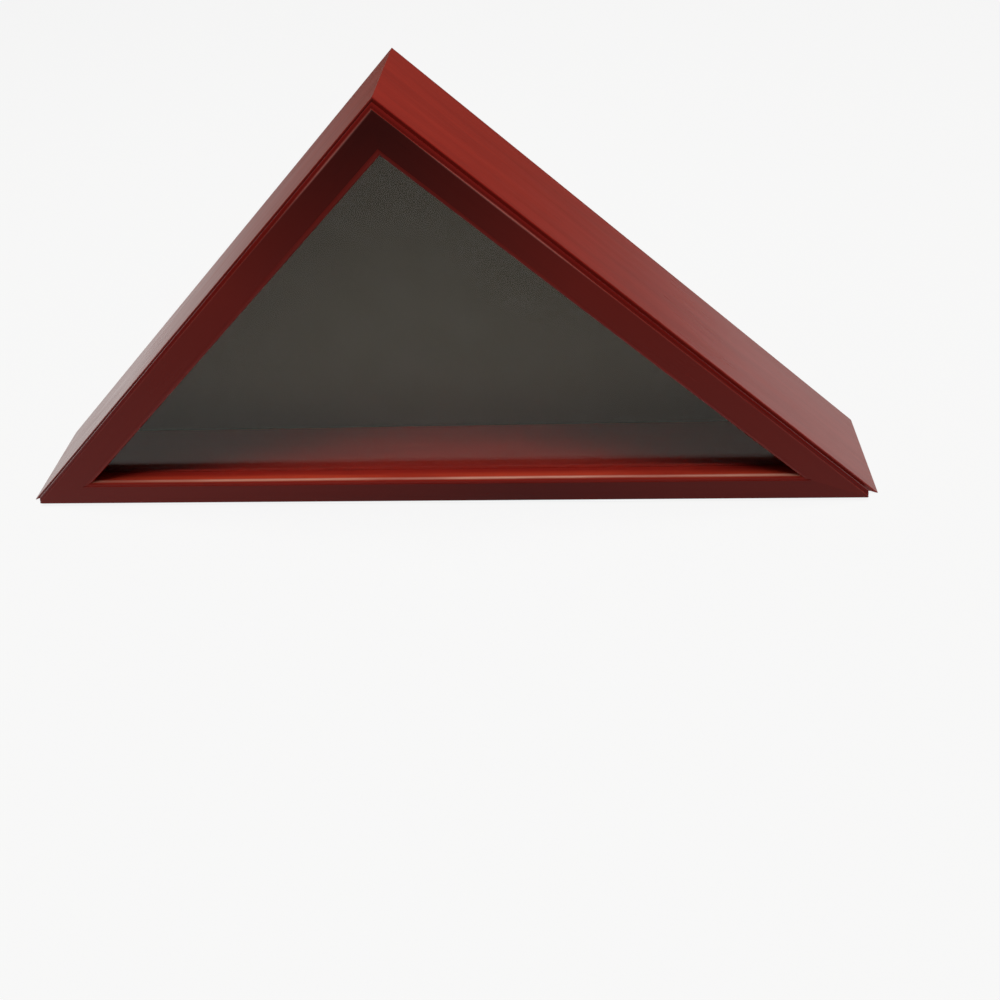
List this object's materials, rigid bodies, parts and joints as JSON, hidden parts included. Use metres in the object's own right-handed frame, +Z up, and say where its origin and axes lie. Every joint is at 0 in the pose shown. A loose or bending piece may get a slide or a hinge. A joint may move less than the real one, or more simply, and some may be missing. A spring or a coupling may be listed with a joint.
{
  "type": "folded flag display case",
  "caption": "Triangular wooden display case for a folded flag, with a glazed door hinged along its base, a felt-lined back and keyhole plates for a wall.",
  "frame": {"origin": "on the surface that the case stands on, under the middle of its width and depth", "axes": "+X to the right seen from the front, the door faces -Y, +Z up"},
  "size_m": [0.648, 0.087, 0.324],
  "materials": {
    "stained_wood": "satin lacquer over a red-brown stain",
    "back_board": "brown hardboard, smooth face out",
    "felt": "dark pressed felt",
    "dowel_wood": "plain beech",
    "zinc_steel": "bright zinc plate",
    "nickel_plate": "nickel plate",
    "brass": "satin brass",
    "rubber": "matt black rubber",
    "glass": "clear float glass"
  },
  "bodies": {
    "case": {"left_side_board": "stained_wood", "right_side_board": "stained_wood", "base_board": "stained_wood", "back_panel": "back_board", "back_liner": "felt", "corner_dowels": "dowel_wood", "back_panel_screws": "zinc_steel", "hanger_plate_left": "zinc_steel", "hanger_plate_right": "zinc_steel", "hanger_screws": "zinc_steel", "case_magnets": "nickel_plate", "left_hinge_case_leaf": "brass", "left_hinge_pin": "brass", "right_hinge_case_leaf": "brass", "right_hinge_pin": "brass", "hinge_case_screws": "brass", "door_bumpers": "rubber"},
    "door": {"door_left_rail": "stained_wood", "door_right_rail": "stained_wood", "door_bottom_rail": "stained_wood", "door_v_nails": "zinc_steel", "door_strikes": "zinc_steel", "glass_pane": "glass", "glass_stop_left": "stained_wood", "glass_stop_right": "stained_wood", "glass_stop_bottom": "stained_wood", "glass_stop_brads": "zinc_steel", "left_hinge_door_leaf": "brass", "right_hinge_door_leaf": "brass", "hinge_door_screws": "brass"}
  },
  "joints": [
    {"name": "door_hinge", "type": "hinge", "parent": "case", "child": "door", "pos_m": [0, -0.03675, 0.002], "axis": [1, 0, 0], "range_deg": [0, 90]}
  ]
}
